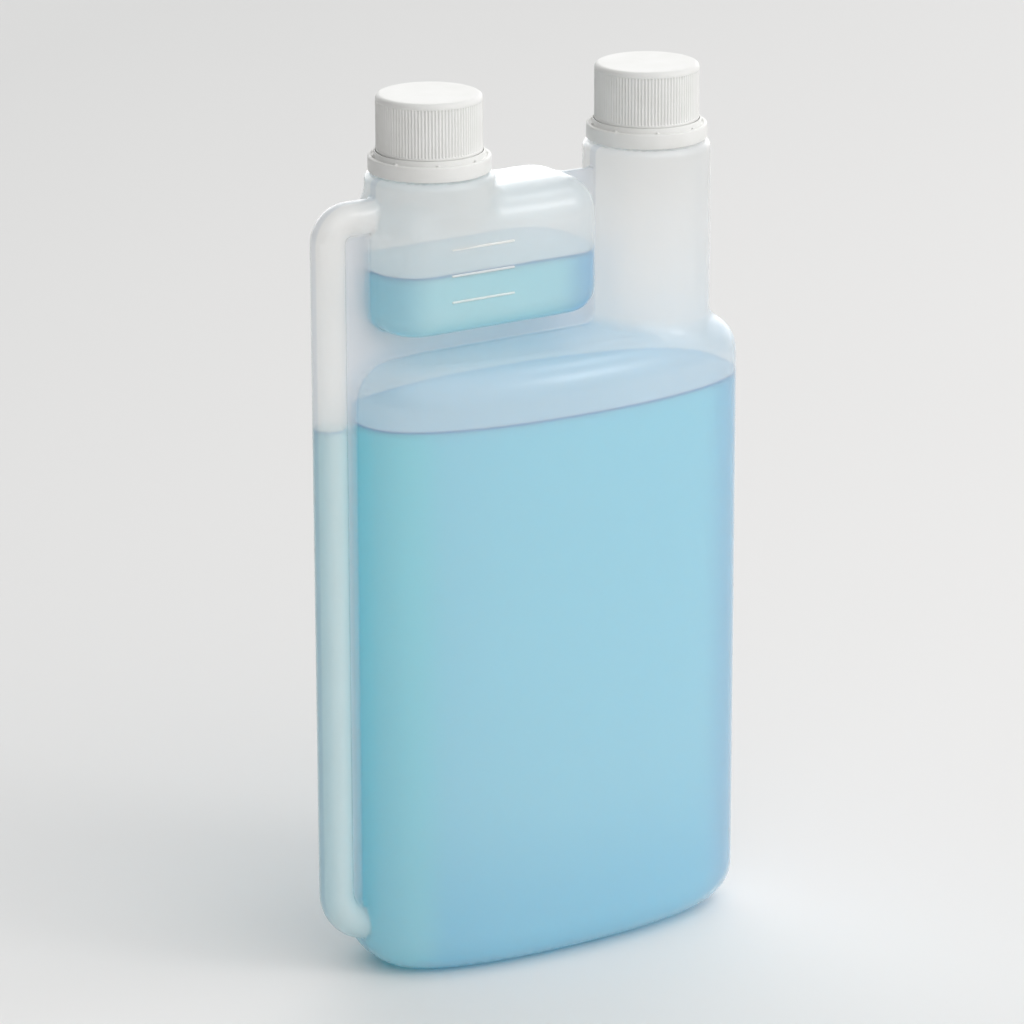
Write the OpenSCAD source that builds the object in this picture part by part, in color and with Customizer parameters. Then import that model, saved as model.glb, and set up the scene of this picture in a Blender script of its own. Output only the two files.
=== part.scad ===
// Twin neck dosing bottle for liquid pond treatment, about one litre.
// Z is up, the bottle stands on Z = 0 and its parting plane is Y = 0. Millimetres.

/* [Reservoir] */
// half width of the reservoir
body_a = 63.0; // [50:0.1:75]
// half depth of the reservoir
body_b = 28.0; // [24:0.1:40]
// height of the reservoir's shoulder
body_top = 184.0; // [140:0.5:240]
// squareness of the reservoir's section along X
body_nx = 2.1; // [2:0.05:4]
// squareness of the reservoir's section along Y
body_ny = 2.8; // [2.2:0.05:4]
// height of the rounding at the base
base_round = 13.0; // [6:0.5:18]
// how far the base rounding comes in
base_inset = 12.0; // [6:0.5:16]
// height of the rounding at the shoulder
shoulder_round = 11.5; // [6:0.5:18]
// how far the shoulder rounding comes in
shoulder_inset = 10.5; // [6:0.5:14]
// rise of the shoulder's flat top toward its middle
shoulder_crown = 0.8; // [0.3:0.1:3]
// wall thickness of the blown bottle
wall = 1.0; // [0.7:0.1:2]
// thickness of the base
base_wall = 1.4; // [0.8:0.1:3]

/* [Dosing chamber] */
// gap of plain web between shoulder and chamber
dose_gap = 8.8; // [3:0.1:20]
// length of the dosing chamber along X
dose_len = 70.3; // [55:0.1:72]
// half depth of the dosing chamber
dose_b = 17.6; // [14:0.1:22]
// height of the dosing chamber
dose_h = 39.6; // [32:0.1:50]
// corner radius of the dosing chamber in plan
dose_corner = 12.0; // [11:0.1:13.5]
// rounding of its lower edge
dose_low_round = 7.0; // [4:0.1:10]
// rounding of its upper edge
dose_top_round = 10.5; // [4:0.1:10.5]
// height of the middle graduation line above the chamber's underside
mark_up = 18.1; // [14:0.1:24]
// step from one graduation line to the next
mark_step = 7.6; // [4:0.1:9]
// length of a graduation line
mark_len = 20.9; // [10:0.1:30]
// start of the graduation lines from the chamber's left side
mark_in = 16.9; // [14:0.1:25]
// width of a graduation line
mark_w = 0.7; // [0.4:0.1:1.5]
// how far a graduation line stands out
mark_out = 0.35; // [0.2:0.05:1]

/* [Feed tube and web] */
// outer radius of the feed tube
tube_r = 5.0; // [4:0.1:6]
// wall of the feed tube
tube_wall = 1.1; // [0.6:0.1:1.8]
// clear web between tube and reservoir
tube_gap = 3.4; // [2.5:0.1:12]
// how far the tube's upper run lies below the chamber's top
tube_drop = 5.4; // [2:0.1:8]
// bend radius at the tube's top
top_bend = 6.5; // [6.2:0.1:9]
// axis height of the tube where it enters the reservoir
tube_low = 14.5; // [10:0.5:25]
// bend radius at the tube's foot
low_bend = 11.5; // [8:0.1:13]
// thickness of the pinched web
web_t = 2.0; // [1.2:0.1:4]

/* [Necks] */
// dosing neck axis in from the reservoir's left side
neck_dose_in = 25.3; // [22:0.1:32]
// filler neck axis in from the reservoir's right side
neck_fill_in = 27.0; // [22:0.1:32]
// dosing neck axis in from the chamber's left side
neck_left = 20.5; // [19:0.1:24]
// outer radius of each neck below its finish
neck_r = 18.7; // [16.5:0.1:20]
// wall of the necks
neck_wall = 1.2; // [0.8:0.1:2]
// rise of the necks above the dosing chamber
neck_rise = 4.9; // [4:0.1:15]
// rounding of a neck's top edge
neck_round = 2.0; // [0.8:0.1:3]
// depth that the dosing neck reaches down into its chamber
neck_down = 9.0; // [6:0.5:12]
// height of the taper below it
neck_taper = 8.0; // [4:0.5:10]
// depth that the filler neck reaches down into the shoulder
neck_sink = 12.0; // [8:0.5:16]
// outer radius of the finish between its threads
finish_r = 12.75; // [11:0.05:14]
// wall of the finish
finish_wall = 1.95; // [1:0.05:3]
// how far the thread stands out
thread_h = 1.0; // [0.5:0.05:1.3]
// width of the thread at its root
thread_w = 2.2; // [1.2:0.1:3]
// thread pitch
thread_pitch = 4.2; // [3.4:0.1:5]
// depth of the first thread below the rim
thread_lead = 3.2; // [2.2:0.1:4]
// how far the bead that holds the band stands out
bead_out = 1.65; // [1.2:0.05:2]
// height of that bead
bead_h = 1.3; // [0.8:0.1:2]

/* [Closures] */
// height of a cap without its band
cap_h = 16.4; // [14:0.1:22]
// thickness of the cap's top
cap_top_t = 1.6; // [1:0.1:3]
// wall of the skirt under the ribs
cap_wall = 0.85; // [0.6:0.05:2]
// clearance between thread and skirt
skirt_gap = 0.3; // [0.2:0.05:0.8]
// rounding of the cap's top edge
cap_round = 1.4; // [0.6:0.1:1.5]
// height of the plain collar under the ribs
cap_collar = 1.3; // [0.5:0.1:3]
// depth of a rib
rib_depth = 0.35; // [0.15:0.05:0.6]
// number of ribs around a cap
rib_count = 98; // [40:1:120]
// wall of the tamper band
band_wall = 2.8; // [2:0.05:4]
// height of the tamper band
band_h = 4.5; // [3.8:0.1:8]
// gap between cap and band
band_gap = 1.2; // [0.6:0.1:3]
// gap between band and neck
band_lift = 0.6; // [0.3:0.1:1.5]
// height of the band's lip under the bead
lip_h = 1.5; // [0.8:0.1:2.5]
// play between the band and the bead
band_play = 0.35; // [0.2:0.05:0.6]
// number of bridge stubs left on the band
bridge_count = 8; // [4:1:16]
// width of a bridge stub
bridge_w = 1.0; // [0.5:0.1:2]
// thickness of a bridge stub
bridge_t = 0.5; // [0.3:0.05:1]
// thickness of the sealing liner
liner_t = 1.05; // [0.5:0.05:2]

/* [Contents] */
// liquid surface in reservoir and tube, down from the shoulder
head_main = 17.4; // [14:0.5:120]
// liquid surface in the chamber, down from the middle graduation line
head_dose = 0.1; // [0:0.1:6]

/* [Hidden] */
$fn = 72;
// running clearance where pieces meet
fit = 0.05;
ring_pts = 40;
arc_pts = 5;
edge = [0, 22.5, 45, 67.5, 90];
// the tube's outer side and the reservoir's right side lie equally far from X = 0
body_x = (tube_gap + 2 * tube_r) / 2;
body_left = body_x - body_a;
tube_x = body_left - tube_gap - tube_r;
tube_bore = tube_r - tube_wall;
neck_dose_x = body_left + neck_dose_in;
neck_fill_x = body_x + body_a - neck_fill_in;
dose_x0 = neck_dose_x - neck_left;
dose_x1 = dose_x0 + dose_len;
dose_z0 = body_top + dose_gap;
dose_z1 = dose_z0 + dose_h;
mark_z = dose_z0 + mark_up;
tube_top = dose_z1 - tube_drop;
neck_z = dose_z1 + neck_rise;
level_main = body_top - head_main;
level_dose = mark_z - head_dose;
run_in = 6;
band_z0 = neck_z + band_lift;
band_z1 = band_z0 + band_h;
bead_z0 = band_z0 + lip_h + band_play;
bead_r = finish_r + bead_out;
band_bore = bead_r + band_play;
band_lip = (finish_r + bead_r) / 2 + band_play / 2;
cap_z0 = band_z1 + band_gap;
cap_z1 = cap_z0 + cap_h;
finish_z = cap_z1 - cap_top_t - liner_t - 2 * fit;
cap_bore = finish_r + thread_h + skirt_gap;
cap_r = cap_bore + cap_wall + rib_depth;
liner_r = (finish_r + cap_bore) / 2;

// One level of the reservoir, brought in by an amount.
function body_ring(z, inset) = [for (i = [0:ring_pts - 1])
    let (t = 360 * i / ring_pts, c = cos(t), s = sin(t))
    [body_x + (body_a - inset) * sign(c) * pow(abs(c), 2 / body_nx),
     (body_b - inset) * sign(s) * pow(abs(s), 2 / body_ny), z]];

// One level of the dosing chamber, a rectangle with round corners.
function dose_ring(z, inset) =
    let (r = dose_corner - inset, y = dose_b - dose_corner,
         x0 = dose_x0 + dose_corner, x1 = dose_x1 - dose_corner)
    [for (q = [0:3]) for (k = [0:arc_pts]) let (t = 90 * q + 90 * k / arc_pts)
        [(q == 0 || q == 3 ? x1 : x0) + r * cos(t), (q < 2 ? y : -y) + r * sin(t), z]];

// Heights and insets of the reservoir's levels: g is the wall left outside them.
function body_levels(g, floor_z) =
    let (lid = body_top - g, crown = [(body_b + shoulder_inset) / 2, body_b - shoulder_inset / 2])
    concat(
        [for (t = edge) [floor_z + (base_round - g) * (1 - cos(t)), g + (base_inset - g) * (1 - sin(t))]],
        [for (t = edge) [lid - (shoulder_round - g) * (1 - sin(t)),
            g + (shoulder_inset - g) * (1 - cos(t))]],
        [[lid + 0.75 * shoulder_crown, crown[0]], [lid + shoulder_crown, crown[1]]]);

// The same for the dosing chamber.
function dose_levels(g) = concat(
    [for (t = edge) [dose_z0 + g + (dose_low_round - g) * (1 - cos(t)),
        g + (dose_low_round - g) * (1 - sin(t))]],
    [for (t = edge) [dose_z1 - g - (dose_top_round - g) * (1 - sin(t)),
        g + (dose_top_round - g) * (1 - cos(t))]]);

// Levels below a height, closed by one at that height.
function cut_levels(levels, z) =
    let (low = [for (v = levels) if (v[0] < z - 0.2) v])
    concat(low, [[z, low[len(low) - 1][1]]]);

// Closed form through rings of equal length.
module loft(rings) {
    n = len(rings[0]);
    m = len(rings);
    polyhedron(points = [for (r = rings) for (p = r) p], faces = concat(
        [[for (i = [0:n - 1]) i]],
        [for (j = [0:m - 2]) for (i = [0:n - 1]) let (k = (i + 1) % n)
            [j * n + i, (j + 1) * n + i, j * n + k]],
        [for (j = [0:m - 2]) for (i = [0:n - 1]) let (k = (i + 1) % n)
            [j * n + k, (j + 1) * n + i, (j + 1) * n + k]],
        [[for (i = [n - 1:-1:0]) (m - 1) * n + i]]));
}

module body_form(g, floor_z) {
    loft([for (v = body_levels(g, floor_z)) body_ring(v[0], v[1])]);
}

module dose_form(g) {
    loft([for (v = dose_levels(g)) dose_ring(v[0], v[1])]);
}

// Upright tube with its two bends, and its short runs into reservoir and neck.
module tube_form(r) {
    translate([tube_x, 0, tube_low + low_bend])
        cylinder(r = r, h = tube_top - top_bend - tube_low - low_bend);
    translate([tube_x + low_bend, 0, tube_low + low_bend]) rotate([90, 180, 0])
        rotate_extrude(angle = 90) translate([low_bend, 0]) circle(r);
    translate([tube_x + top_bend, 0, tube_top - top_bend]) rotate([90, -90, 0])
        rotate_extrude(angle = 90) translate([top_bend, 0]) circle(r);
}

module tube_runs(r, low_end, top_end) {
    translate([tube_x + low_bend, 0, tube_low]) rotate([0, 90, 0])
        cylinder(r = r, h = low_end - tube_x - low_bend);
    translate([tube_x + top_bend, 0, tube_top]) rotate([0, 90, 0])
        cylinder(r = r, h = top_end - tube_x - top_bend);
}

// Disc with a round upper edge, from its flat top down past the rounding.
module round_edge(r, edge_r, over) {
    rotate_extrude() {
        translate([r - edge_r, 0]) intersection() {
            circle(edge_r);
            square(edge_r + 1);
        }
        translate([0, -over]) square([r - edge_r + 0.01, edge_r + over]);
    }
}

// Outside of a neck from a low height up to its open rim.
module neck_outer(x, z0) {
    translate([x, 0, 0]) {
        translate([0, 0, z0]) cylinder(r = neck_r, h = neck_z - neck_round - z0);
        translate([0, 0, neck_z - neck_round]) round_edge(neck_r, neck_round, wall);
        translate([0, 0, neck_z - neck_wall]) cylinder(r = finish_r, h = finish_z - neck_z + neck_wall);
        translate([0, 0, bead_z0]) cylinder(r1 = bead_r, r2 = finish_r, h = bead_h);
        for (k = [0:1]) translate([0, 0, finish_z - thread_lead - k * thread_pitch])
            rotate_extrude() polygon([[finish_r - wall, -thread_w / 2], [finish_r, -thread_w / 2],
                [finish_r + thread_h, -thread_w / 6], [finish_r + thread_h, thread_w / 6],
                [finish_r, thread_w / 2], [finish_r - wall, thread_w / 2]]);
    }
}

module neck_bore(x, z0) {
    z1 = neck_z - neck_wall - neck_round;
    translate([x, 0, z0]) cylinder(r = neck_r - neck_wall, h = z1 - z0);
    translate([x, 0, z1 - fit / 10])
        cylinder(r1 = neck_r - neck_wall, r2 = finish_r - finish_wall, h = neck_round);
    translate([x, 0, z1 + neck_round / 2])
        cylinder(r = finish_r - finish_wall, h = finish_z - z1);
}

// Taper by which the dosing neck runs out into the chamber's sides.
module neck_bulge(g) {
    translate([neck_dose_x, 0, dose_z1 - neck_down - neck_taper])
        cylinder(r1 = dose_b - wall - g, r2 = neck_r - g, h = neck_taper + fit / 10);
}

// Flat web pinched between the two halves of the mould.
module web() {
    low = [tube_x + low_bend, tube_low + low_bend];
    high = [tube_x + top_bend, tube_top - top_bend];
    neck_side = neck_fill_x - neck_r + 2 * wall;
    translate([0, web_t / 2, 0]) rotate([90, 0, 0]) linear_extrude(web_t) polygon(concat(
        [for (t = edge) low + low_bend * [cos(180 + t), sin(180 + t)]],
        [[body_left + run_in, tube_low], [body_left + run_in, body_top - 2 * shoulder_round],
         [neck_fill_x, body_top - 2 * shoulder_round], [neck_side, body_top - shoulder_round],
         [neck_side, dose_z1 - wall], [dose_x0 + dose_top_round, dose_z1 - wall],
         [dose_x0 + dose_top_round, tube_top]],
        [for (t = edge) high + top_bend * [cos(90 + t), sin(90 + t)]]));
}

module marks() {
    for (k = [-1:1])
        translate([dose_x0 + mark_in, -dose_b - mark_out, mark_z + k * mark_step - mark_w / 2])
            cube([mark_len, mark_out + wall / 2, mark_w]);
}

module bottle() {
    color([0.86, 0.89, 0.90, 0.45]) difference() {
        union() {
            body_form(0, 0);
            dose_form(0);
            neck_bulge(0);
            neck_outer(neck_dose_x, dose_z1 - neck_down);
            neck_outer(neck_fill_x, body_top - neck_sink);
            tube_form(tube_r);
            tube_runs(tube_r, body_left + tube_r - wall, dose_x0 + tube_r - wall);
            web();
            marks();
        }
        body_form(wall, base_wall);
        dose_form(wall);
        neck_bulge(neck_wall);
        neck_bore(neck_dose_x, dose_z1 - neck_down);
        neck_bore(neck_fill_x, body_top - neck_sink);
        tube_form(tube_bore);
        tube_runs(tube_bore, body_left + run_in, dose_x0 + run_in);
    }
}

// Cap shell: ribbed skirt, plain collar below it and a round top edge.
module cap(x) {
    step = 360 / rib_count;
    translate([x, 0, cap_z0]) color([0.95, 0.95, 0.94]) difference() {
        union() {
            cylinder(r = cap_r + fit, h = cap_collar);
            linear_extrude(cap_h - cap_round) polygon([for (i = [0:rib_count - 1])
                for (c = [[0, cap_r - rib_depth], [0.5, cap_r]])
                    c[1] * [cos((i + c[0]) * step), sin((i + c[0]) * step)]]);
            translate([0, 0, cap_h - cap_round])
                round_edge(cap_r - rib_depth - fit, cap_round, cap_h - cap_round - cap_collar / 2);
        }
        translate([0, 0, -1]) cylinder(r = cap_bore, h = cap_h - cap_top_t + 1);
    }
}

// Tamper band that stays on the neck, with the stubs of its bridges.
module band(x) {
    translate([x, 0, band_z0]) color([0.95, 0.95, 0.94]) {
        difference() {
            cylinder(r = band_bore + band_wall, h = band_h);
            translate([0, 0, -1]) cylinder(r = band_lip, h = band_h + 2);
            translate([0, 0, lip_h]) cylinder(r = band_bore, h = band_h);
        }
        for (i = [0:bridge_count - 1]) rotate([0, 0, 360 * (i + 0.5) / bridge_count])
            translate([band_bore + fit, -bridge_w / 2, band_h - wall])
                cube([bridge_t, bridge_w, wall + band_gap - 2 * fit]);
    }
}

module liner(x) {
    translate([x, 0, finish_z + fit]) color([0.90, 0.90, 0.88]) cylinder(r = liner_r, h = liner_t);
}

module dosing_cap() { cap(neck_dose_x); }
module dosing_cap_band() { band(neck_dose_x); }
module dosing_cap_liner() { liner(neck_dose_x); }
module filler_cap() { cap(neck_fill_x); }
module filler_cap_band() { band(neck_fill_x); }
module filler_cap_liner() { liner(neck_fill_x); }

// Liquid in the reservoir and the column that stands as high in the tube.
module reservoir_liquid() {
    g = wall + fit;
    color([0.40, 0.72, 0.84, 0.5]) union() {
        loft([for (v = cut_levels(body_levels(g, base_wall + fit), level_main)) body_ring(v[0], v[1])]);
        intersection() {
            union() {
                tube_form(tube_bore - fit);
                tube_runs(tube_bore - fit, body_left + run_in, dose_x0);
            }
            translate([tube_x - 2 * tube_r, -2 * tube_r, 0])
                cube([tube_gap + run_in + 6 * tube_r, 4 * tube_r, level_main]);
        }
    }
}

module dosing_liquid() {
    color([0.40, 0.72, 0.84, 0.5])
        loft([for (v = cut_levels(dose_levels(wall + fit), level_dose)) dose_ring(v[0], v[1])]);
}

bottle();
dosing_cap();
dosing_cap_band();
dosing_cap_liner();
filler_cap();
filler_cap_band();
filler_cap_liner();
reservoir_liquid();
dosing_liquid();
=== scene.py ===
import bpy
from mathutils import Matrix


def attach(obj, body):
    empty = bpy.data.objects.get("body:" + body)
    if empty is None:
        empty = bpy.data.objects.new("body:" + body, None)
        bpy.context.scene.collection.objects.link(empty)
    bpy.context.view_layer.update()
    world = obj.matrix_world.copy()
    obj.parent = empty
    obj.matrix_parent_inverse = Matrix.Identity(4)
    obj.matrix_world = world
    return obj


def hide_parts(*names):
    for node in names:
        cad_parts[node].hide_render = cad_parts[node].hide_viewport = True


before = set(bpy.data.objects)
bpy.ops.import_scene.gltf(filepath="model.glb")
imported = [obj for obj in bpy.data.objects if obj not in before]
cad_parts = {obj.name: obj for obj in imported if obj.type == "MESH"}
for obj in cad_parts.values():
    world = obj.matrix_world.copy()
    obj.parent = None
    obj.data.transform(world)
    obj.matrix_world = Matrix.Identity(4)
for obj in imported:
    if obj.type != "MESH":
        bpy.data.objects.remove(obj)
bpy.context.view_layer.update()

import math

import bpy
import numpy as np
from mathutils import Matrix, Vector

print("frame loaded:", ", ".join(sorted(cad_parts)))
metre = 0.001                              # sizes below are in millimetres


def linearColour(hexCode):
    # sRGB hex to linear light: each channel c gives ((c + 0.055) / 1.055) to the power 2.4
    channels = [int(hexCode[i:i + 2], 16) / 255 for i in (0, 2, 4)]
    return [c / 12.92 if c <= 0.04045 else ((c + 0.055) / 1.055) ** 2.4 for c in channels] + [1.0]


def addNode(tree, kind, settings=None, values=None, links=None):
    node = tree.nodes.new(kind)
    for name, value in (settings or {}).items():
        setattr(node, name, value)
    for name, value in (values or {}).items():
        node.inputs[name].default_value = value
    for name, socket in (links or {}).items():
        tree.links.new(socket, node.inputs[name])
    return node


def newMaterial(name):
    material = bpy.data.materials.new(name)
    material.use_nodes = True
    material.node_tree.nodes.clear()
    return material, material.node_tree


def outward(points, faces):
    # signed volume of the cones from the origin; a closed mesh that turns out negative is flipped
    volume = 0.0
    for block in faces:
        corner = points[block]
        for k in range(1, block.shape[1] - 1):
            volume += np.einsum("ij,ij->", corner[:, 0], np.cross(corner[:, k], corner[:, k + 1]))
    return faces if volume > 0 else [block[:, ::-1] for block in faces]


def makePiece(name, shells, body, material, normals=None):
    # shells: (points in mm, face blocks, facing); facing -1 is the inside wall of a hollow piece
    points, faces, start = [], [], 0
    for shellPoints, shellFaces, facing in shells:
        turned = outward(shellPoints, shellFaces)
        for block in turned:
            faces += ((block if facing > 0 else block[:, ::-1]) + start).tolist()
        points.append(shellPoints)
        start += len(shellPoints)
    mesh = bpy.data.meshes.new(name)
    mesh.from_pydata((np.vstack(points) * metre).tolist(), [], faces)
    mesh.polygons.foreach_set("use_smooth", [True] * len(mesh.polygons))
    mesh.update()
    if normals is not None:
        mesh.normals_split_custom_set_from_vertices(normals.tolist())
    mesh.materials.append(material)
    piece = bpy.data.objects.new(name, mesh)
    bpy.context.scene.collection.objects.link(piece)
    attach(piece, body)
    return piece


def ringFaces(rows, columns, joined=False, start=0):
    # quads between neighbouring rings, each ring closed on itself; joined also ties the last ring to the first
    index = np.arange(rows * columns).reshape(rows, columns) + start
    low, high = (index, np.roll(index, -1, 0)) if joined else (index[:-1], index[1:])
    return np.stack([low, np.roll(low, -1, 1), np.roll(high, -1, 1), high], -1).reshape(-1, 4)


def closedRings(rings):
    # stacked rings as one closed skin, with a fan of triangles to a middle point at either end
    rows, columns = rings.shape[:2]
    ends = np.stack([rings[0].mean(0), rings[-1].mean(0)])
    points = np.vstack([rings.reshape(-1, 3), ends])
    first = np.arange(columns)
    last = first + (rows - 1) * columns
    middle = np.full(columns, rows * columns)
    fans = [np.stack([np.roll(first, -1), first, middle], 1),
            np.stack([last, np.roll(last, -1), middle + 1], 1)]
    return points, [ringFaces(rows, columns)] + fans


def turnedRings(radius, height, centreX):
    # profile turned about an upright axis: (r cos t, r sin t, h) with t once round each ring
    angle = np.linspace(0, 2 * np.pi, radius.shape[1], endpoint=False)[None, :]
    height = np.broadcast_to(height, radius.shape)
    return np.stack([centreX + radius * np.cos(angle), radius * np.sin(angle), height], -1)


def easeIn(t):
    # smooth step: 3t^2 - 2t^3 between 0 and 1
    t = np.clip(t, 0, 1)
    return t * t * (3 - 2 * t)


# the blown bottle is drawn as distance fields in mm, negative inside

def roundedMeet(a, b, radius):
    # where two solids meet in an edge rounded by radius
    corner = np.hypot(np.maximum(a + radius, 0), np.maximum(b + radius, 0))
    return np.minimum(-radius, np.maximum(a, b)) + corner


def softJoin(a, b, width):
    # union with a fillet: the smaller value less a parabola where the two differ by under width
    near = np.maximum(width - np.abs(a - b), 0) / width
    return np.minimum(a, b) - near * near * width / 4


reservoir = {
    "centreX": 6.7, "halfWidth": 63.0, "halfDepth": 28.0, "top": 184.0,
    "powerX": 2.1, "powerY": 2.8,           # |x/a|^2.1 + |y/b|^2.8 = 1 is its section
    "baseRound": 12.5, "shoulderRound": 11.0, "crown": 0.8,
    "wall": 0.22, "baseWall": 1.5,
}
chamber = {
    "left": -51.5, "right": 18.8, "halfDepth": 17.6, "low": 192.8, "top": 232.4,
    "corner": 12.0, "lowRound": 7.0, "topRound": 10.5, "wall": 0.22,
}
tube = {
    "x": -64.7, "radius": 5.0, "bore": 4.72, "topAxis": 227.0, "lowAxis": 14.5,
    "topBend": 6.5, "lowBend": 11.5, "topEnd": -46.3, "lowEnd": -48.1,
    "boreReach": 3.0, "halfway": 120.0,     # the bore opens into both rooms; above halfway the top bend holds
}
web = {"half": 1.0, "right": 42.7, "bridge": (0.0, 30.0, 188.0, 231.4)}
neck = {
    "dosingX": -31.0, "fillerX": 42.7, "radius": 18.7, "wall": 0.4, "top": 237.3, "topRound": 2.0,
    "dosingFoot": 219.4, "taperTop": 228.4, "taperLow": 221.4, "taperRadius": 16.6, "fillerFoot": 172.0,
}
fillets = {
    "fillerNeck": 4.2, "dosingNeck": 3.2, "tubeWeb": 1.2, "web": 0.7,
    "fillerNeckInside": 3.0, "dosingNeckInside": 2.4, "tubeInside": 0.8,
}


def sectionInset(x, y):
    # how far in the section lies that passes through (x, y): the i that solves
    # |x/(a - i)|^p + |y/(b - i)|^q = 1, found by halving its range
    r = reservoir
    x, y = np.broadcast_arrays(np.abs(x - r["centreX"]), np.abs(y))
    low, high = np.full(x.shape, -40.0), np.full(x.shape, r["halfDepth"] - 0.01)
    for _ in range(24):
        mid = (low + high) / 2
        over = (x / (r["halfWidth"] - mid)) ** r["powerX"] + (y / (r["halfDepth"] - mid)) ** r["powerY"] > 1
        high, low = np.where(over, mid, high), np.where(over, low, mid)
    return (low + high) / 2


def reservoirField(x, y, z, wall=0.0, floor=0.0):
    r = reservoir
    inset = sectionInset(x, y)
    lid = r["top"] - wall + r["crown"] * easeIn((inset - 8) / 16)
    low = roundedMeet(wall - inset, floor - z, r["baseRound"] - wall)
    return roundedMeet(low, z - lid, r["shoulderRound"] - wall)


def chamberField(x, y, z, wall=0.0):
    # rectangle with round corners, rounded again toward its floor and top
    c = chamber
    u = np.abs(x - (c["left"] + c["right"]) / 2) - (c["right"] - c["left"]) / 2 + c["corner"]
    v = np.abs(y) - c["halfDepth"] + c["corner"]
    side = np.hypot(np.maximum(u, 0), np.maximum(v, 0)) + np.minimum(np.maximum(u, v), 0) - c["corner"] + wall
    low = roundedMeet(side, c["low"] + wall - z, c["lowRound"] - wall)
    return roundedMeet(low, z - c["top"] + wall, c["topRound"] - wall)


def neckField(x, y, z, centreX, foot, wall=0.0):
    # upright cylinder; over the chamber its radius eases in to the chamber's own width
    n = neck
    radius = n["radius"] - wall
    if centreX == n["dosingX"]:
        ease = easeIn((z - n["taperLow"]) / (n["taperTop"] - n["taperLow"]))
        radius = n["taperRadius"] - wall + (n["radius"] - n["taperRadius"]) * ease
    side = np.hypot(x - centreX, y) - radius
    return np.maximum(roundedMeet(side, z - n["top"] + wall, n["topRound"] - wall / 2), foot - z)


def pathSide(x, z):
    # signed distance to the tube's middle line: a rectangle's side with a round corner at top and foot
    t = tube
    upper = z > t["halfway"]
    bend = np.where(upper, t["topBend"], t["lowBend"])
    v = np.where(upper, z - t["topAxis"], t["lowAxis"] - z) + bend
    u = t["x"] + bend - x
    return np.hypot(np.maximum(u, 0), np.maximum(v, 0)) + np.minimum(np.maximum(u, v), 0) - bend


def tubeField(x, y, z, radius, reach=0.0):
    end = np.where(z > tube["halfway"], tube["topEnd"], tube["lowEnd"]) + reach
    return np.maximum(np.hypot(pathSide(x, z), y) - radius, x - end)


def webField(x, y, z):
    x0, x1, z0, z1 = web["bridge"]
    panel = np.maximum(pathSide(x, z), x - web["right"])
    bridge = np.maximum(np.maximum(x0 - x, x - x1), np.maximum(z0 - z, z - z1))
    return np.maximum(np.abs(y) - web["half"], np.minimum(panel, bridge))


def outerField(x, y, z):
    low = softJoin(reservoirField(x, y, z),
                   neckField(x, y, z, neck["fillerX"], neck["fillerFoot"]), fillets["fillerNeck"])
    high = softJoin(chamberField(x, y, z),
                    neckField(x, y, z, neck["dosingX"], neck["dosingFoot"]), fillets["dosingNeck"])
    side = softJoin(tubeField(x, y, z, tube["radius"]), webField(x, y, z), fillets["tubeWeb"])
    return softJoin(np.minimum(low, high), side, fillets["web"])


def innerField(x, y, z):
    low = softJoin(reservoirField(x, y, z, reservoir["wall"], reservoir["baseWall"]),
                   neckField(x, y, z, neck["fillerX"], neck["fillerFoot"], neck["wall"]),
                   fillets["fillerNeckInside"])
    high = softJoin(chamberField(x, y, z, chamber["wall"]),
                    neckField(x, y, z, neck["dosingX"], neck["dosingFoot"], neck["wall"]),
                    fillets["dosingNeckInside"])
    return softJoin(np.minimum(low, high), tubeField(x, y, z, tube["bore"], tube["boreReach"]),
                    fillets["tubeInside"])


def slopeOf(field, points, step=0.02):
    # central differences of the field along x, y and z
    slope = np.empty_like(points)
    for axis in range(3):
        shift = np.zeros(3)
        shift[axis] = step
        ahead, behind = points + shift, points - shift
        slope[:, axis] = (field(*ahead.T) - field(*behind.T)) / (2 * step)
    return slope


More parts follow.
